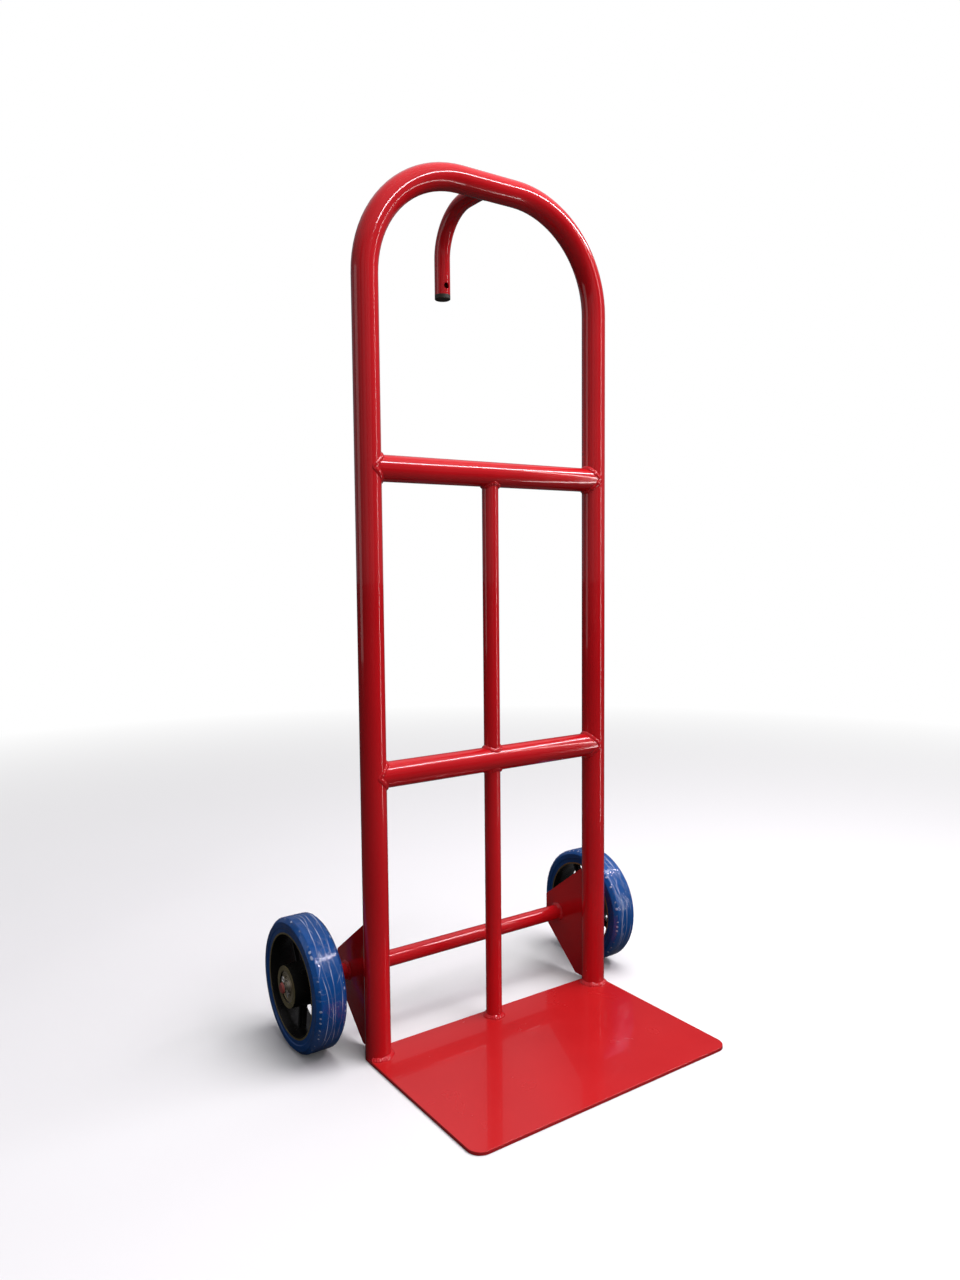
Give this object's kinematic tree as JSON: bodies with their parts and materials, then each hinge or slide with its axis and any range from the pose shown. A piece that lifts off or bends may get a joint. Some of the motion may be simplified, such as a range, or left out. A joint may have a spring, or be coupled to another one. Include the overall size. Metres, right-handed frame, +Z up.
{
  "type": "hand truck",
  "caption": "Upright two-wheeled hand truck: welded tube loop with crossbars, flat steel toe plate, hooked rear handle and wheels on ball bearings.",
  "frame": {"origin": "on the underside of the toe plate, midway between the legs, in the plane of the legs' centre lines", "axes": "+Z up, +Y behind the frame (away from the load), +X across the frame, to the right as seen from the load's side"},
  "size_m": [0.6404, 0.475, 1.304],
  "materials": {
    "frame_paint": "gloss red powder coat with a light orange-peel texture",
    "plate_paint": "gloss red powder coat on flat plate, lightly dusty",
    "axle_steel": "bare turned steel with red paint on the tips",
    "pin_zinc": "bright zinc plate",
    "bearing_steel": "ground and oiled bearing steel",
    "cage_steel": "pressed steel",
    "shield_steel": "pressed steel with a golden oil tint",
    "plug_plastic": "black polyethylene",
    "blue_tyre": "blue elastic rubber in clear shipping film",
    "black_nylon": "moulded black nylon"
  },
  "bodies": {
    "frame": {"toe_plate": "plate_paint", "main_loop": "frame_paint", "lower_crossbar": "frame_paint", "upper_crossbar": "frame_paint", "lower_strut": "frame_paint", "upper_strut": "frame_paint", "left_gusset": "frame_paint", "right_gusset": "frame_paint", "axle_tube": "frame_paint", "axle_rod": "axle_steel", "handle_tube": "frame_paint", "handle_end_plug": "plug_plastic", "left_spacer_sleeve": "axle_steel", "left_split_pin": "pin_zinc", "left_outer_bearing_inner_race": "bearing_steel", "left_inner_bearing_inner_race": "bearing_steel", "right_spacer_sleeve": "axle_steel", "right_split_pin": "pin_zinc", "right_outer_bearing_inner_race": "bearing_steel", "right_inner_bearing_inner_race": "bearing_steel"},
    "left_wheel": {"left_tyre": "blue_tyre", "left_wheel_centre": "black_nylon", "left_outer_bearing_outer_race": "bearing_steel", "left_outer_bearing_shields": "shield_steel", "left_inner_bearing_outer_race": "bearing_steel", "left_inner_bearing_shields": "shield_steel"},
    "left_outer_ball_set": {"left_outer_bearing_balls": "bearing_steel", "left_outer_bearing_cage": "cage_steel"},
    "left_inner_ball_set": {"left_inner_bearing_balls": "bearing_steel", "left_inner_bearing_cage": "cage_steel"},
    "right_wheel": {"right_tyre": "blue_tyre", "right_wheel_centre": "black_nylon", "right_outer_bearing_outer_race": "bearing_steel", "right_outer_bearing_shields": "shield_steel", "right_inner_bearing_outer_race": "bearing_steel", "right_inner_bearing_shields": "shield_steel"},
    "right_outer_ball_set": {"right_outer_bearing_balls": "bearing_steel", "right_outer_bearing_cage": "cage_steel"},
    "right_inner_ball_set": {"right_inner_bearing_balls": "bearing_steel", "right_inner_bearing_cage": "cage_steel"}
  },
  "joints": [
    {"name": "left_wheel_spin", "type": "hinge", "parent": "frame", "child": "left_wheel", "pos_m": [-0.283, 0.094, 0.1], "axis": [1, 0, 0], "continuous": true},
    {"name": "left_outer_ball_set_spin", "type": "hinge", "parent": "frame", "child": "left_outer_ball_set", "pos_m": [-0.3032, 0.094, 0.1], "axis": [1, 0, 0], "continuous": true},
    {"name": "left_inner_ball_set_spin", "type": "hinge", "parent": "frame", "child": "left_inner_ball_set", "pos_m": [-0.2628, 0.094, 0.1], "axis": [1, 0, 0], "continuous": true},
    {"name": "right_wheel_spin", "type": "hinge", "parent": "frame", "child": "right_wheel", "pos_m": [0.283, 0.094, 0.1], "axis": [1, 0, 0], "continuous": true},
    {"name": "right_outer_ball_set_spin", "type": "hinge", "parent": "frame", "child": "right_outer_ball_set", "pos_m": [0.3032, 0.094, 0.1], "axis": [1, 0, 0], "continuous": true},
    {"name": "right_inner_ball_set_spin", "type": "hinge", "parent": "frame", "child": "right_inner_ball_set", "pos_m": [0.2628, 0.094, 0.1], "axis": [1, 0, 0], "continuous": true}
  ],
  "couplings": [
    {"joint": "left_outer_ball_set_spin", "follows": "left_wheel_spin", "ratio": 0.6185},
    {"joint": "left_inner_ball_set_spin", "follows": "left_wheel_spin", "ratio": 0.6185},
    {"joint": "right_outer_ball_set_spin", "follows": "right_wheel_spin", "ratio": 0.6185},
    {"joint": "right_inner_ball_set_spin", "follows": "right_wheel_spin", "ratio": 0.6185}
  ]
}
